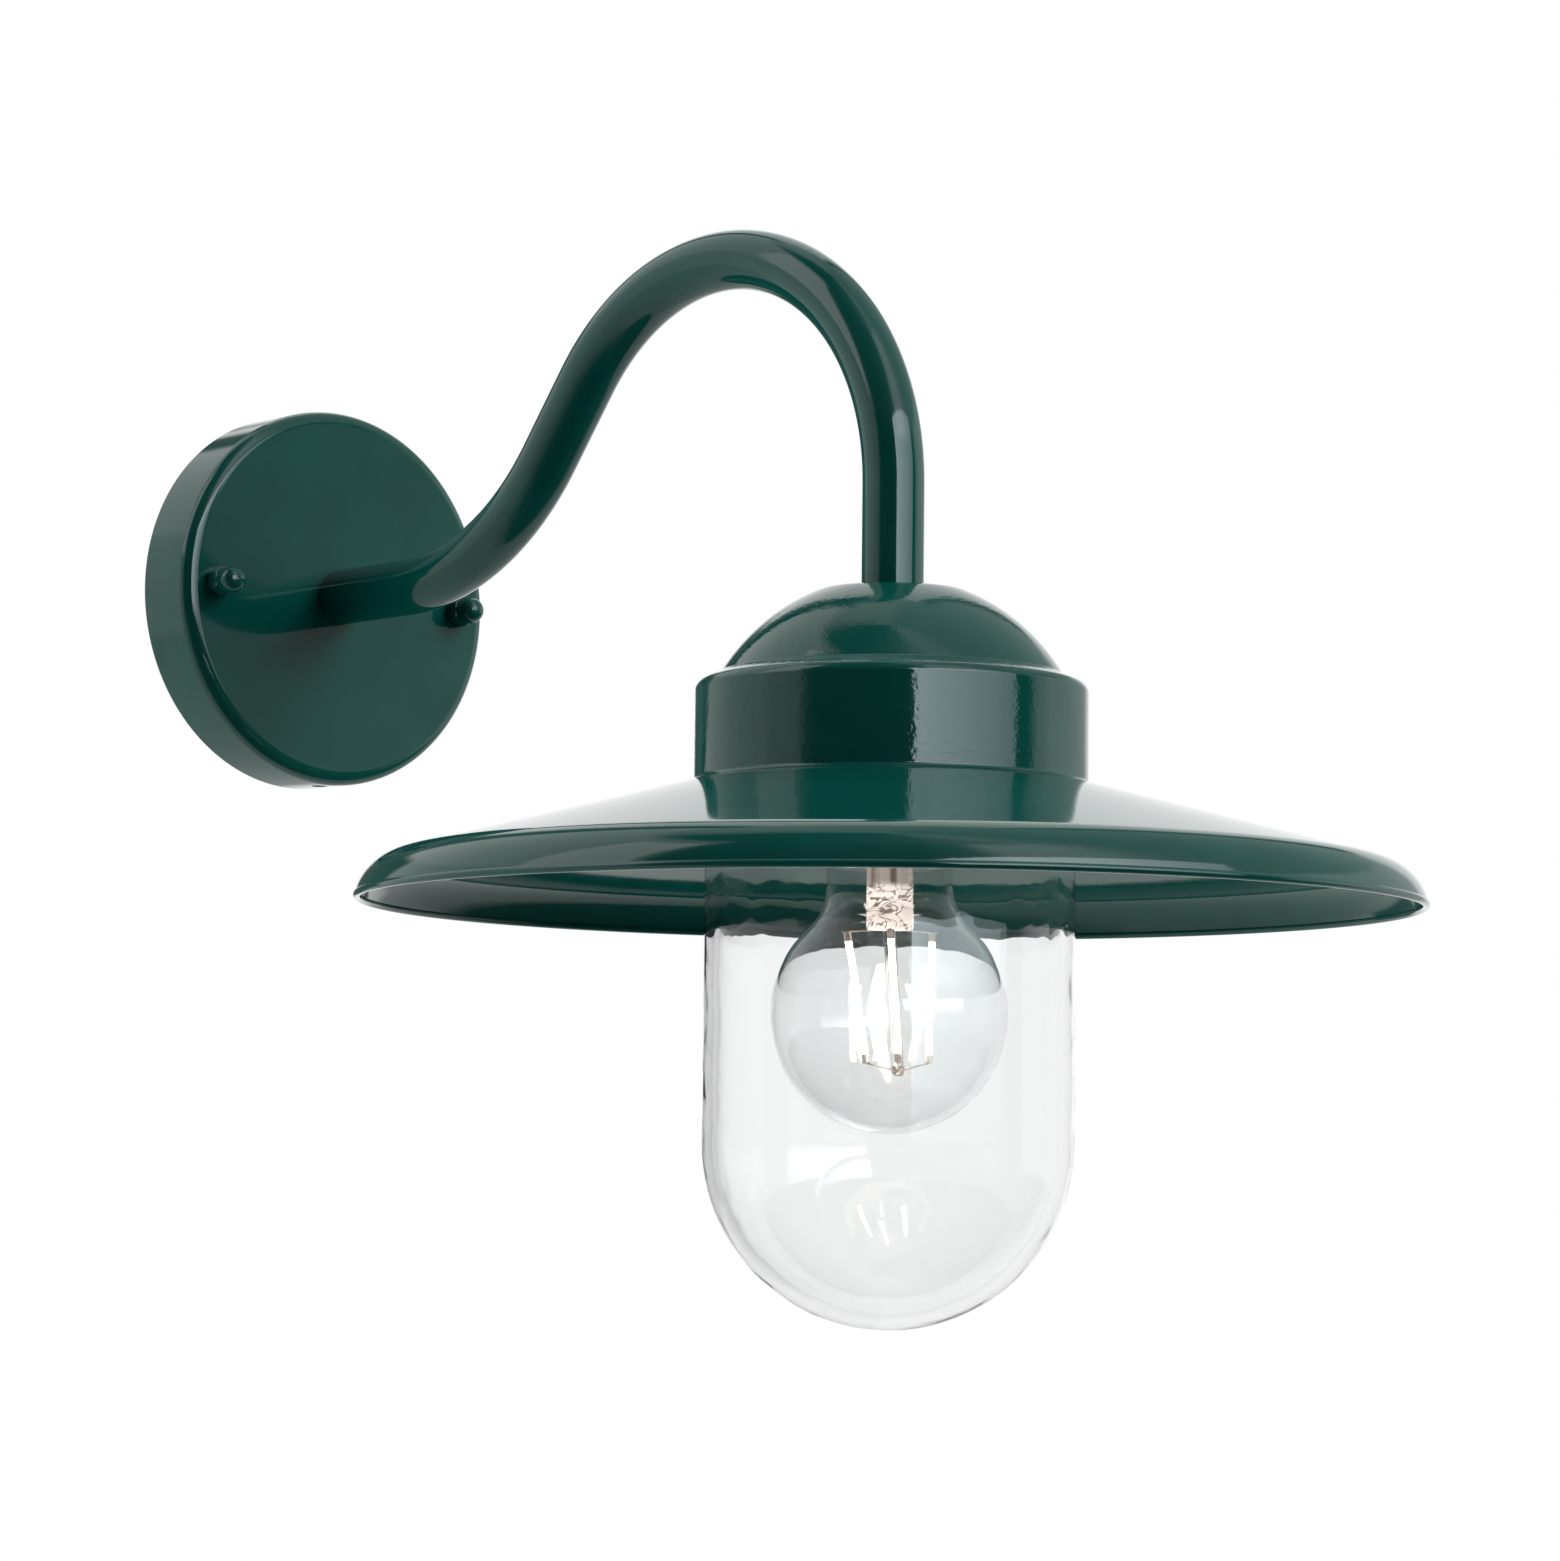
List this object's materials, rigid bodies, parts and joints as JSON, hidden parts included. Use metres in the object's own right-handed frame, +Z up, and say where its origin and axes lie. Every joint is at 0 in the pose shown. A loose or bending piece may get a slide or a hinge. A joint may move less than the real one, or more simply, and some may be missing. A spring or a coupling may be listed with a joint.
{
  "type": "outdoor wall light",
  "caption": "Outdoor wall light: a swan-neck arm on a round wall canopy carries a domed head, a wide shade and a screw-in clear glass jar with a filament bulb.",
  "frame": {"origin": "on the wall plane at the centre of the wall bracket and canopy", "axes": "+Y into the wall, +Z up, the arm reaches out along -Y"},
  "size_m": [0.271, 0.3854, 0.2904],
  "materials": {
    "green_paint": "gloss powder coat with a slight orange peel",
    "zinc_steel": "zinc plated steel",
    "brass": "plain turned brass",
    "porcelain": "white glazed porcelain",
    "jar_glass": "clear pressed glass",
    "bulb_glass": "clear thin blown glass",
    "seal_rubber": "black moulded rubber",
    "terminal_plastic": "cream moulded plastic",
    "live_sleeve": "brown wire insulation",
    "neutral_sleeve": "blue wire insulation",
    "earth_sleeve": "green and yellow wire insulation",
    "cap_metal": "nickelled sheet",
    "cap_insulator": "black glass insulator",
    "filament_coat": "glowing filament coating",
    "lead_metal": "thin nickel wire"
  },
  "bodies": {
    "fixture": {"wall_canopy": "green_paint", "cap_nuts": "green_paint", "swan_neck_arm": "green_paint", "lamp_head": "green_paint", "shade": "green_paint", "glass_ring": "green_paint", "wall_bracket": "zinc_steel", "bracket_studs": "zinc_steel", "terminal_clamp_screws": "zinc_steel", "terminal_fixing_screw": "zinc_steel", "wall_earth_tag": "brass", "wall_earth_screw": "brass", "head_earth_tag": "brass", "head_earth_screw": "brass", "wall_end_bush": "zinc_steel", "wall_end_nipple": "zinc_steel", "wall_end_washer": "zinc_steel", "wall_end_nut": "zinc_steel", "head_end_bush": "zinc_steel", "head_end_nipple": "zinc_steel", "head_end_washer": "zinc_steel", "head_end_nut": "zinc_steel", "terminal_block": "terminal_plastic", "terminal_inserts": "brass", "live_wire": "live_sleeve", "neutral_wire": "neutral_sleeve", "earth_wire": "earth_sleeve", "holder_strap": "zinc_steel", "holder_strap_screws": "zinc_steel", "lampholder_screws": "zinc_steel", "lampholder_body": "porcelain", "lampholder_terminals": "brass", "lampholder_terminal_screws": "zinc_steel", "lampholder_shell": "brass", "lampholder_contact": "brass", "glass_ring_screws": "zinc_steel"},
    "glass_carrier": {"glass_seal": "seal_rubber"},
    "glass": {"glass_jar": "jar_glass"},
    "bulb_carrier": {"bulb_tip": "brass"},
    "bulb": {"bulb_envelope": "bulb_glass", "bulb_cap": "cap_metal", "bulb_cap_insulator": "cap_insulator", "bulb_stem": "bulb_glass", "bulb_filaments": "filament_coat", "bulb_leads": "lead_metal"}
  },
  "joints": [
    {"name": "glass_drop", "type": "slide", "parent": "fixture", "child": "glass_carrier", "axis": [0, 0, -1], "range_m": [0, 0.012]},
    {"name": "glass_turn", "type": "hinge", "parent": "glass_carrier", "child": "glass", "pos_m": [0, -0.24995, 0], "axis": [0, 0, -1], "range_deg": [0, 1081]},
    {"name": "bulb_drop", "type": "slide", "parent": "fixture", "child": "bulb_carrier", "axis": [0, 0, -1], "range_m": [0, 0.02177]},
    {"name": "bulb_turn", "type": "hinge", "parent": "bulb_carrier", "child": "bulb", "pos_m": [0, -0.24995, 0], "axis": [0, 0, -1], "range_deg": [0, 2161]}
  ],
  "couplings": [
    {"joint": "glass_turn", "follows": "glass_drop", "rad_per_m": 1570.8},
    {"joint": "bulb_turn", "follows": "bulb_drop", "rad_per_m": 1731.4}
  ]
}
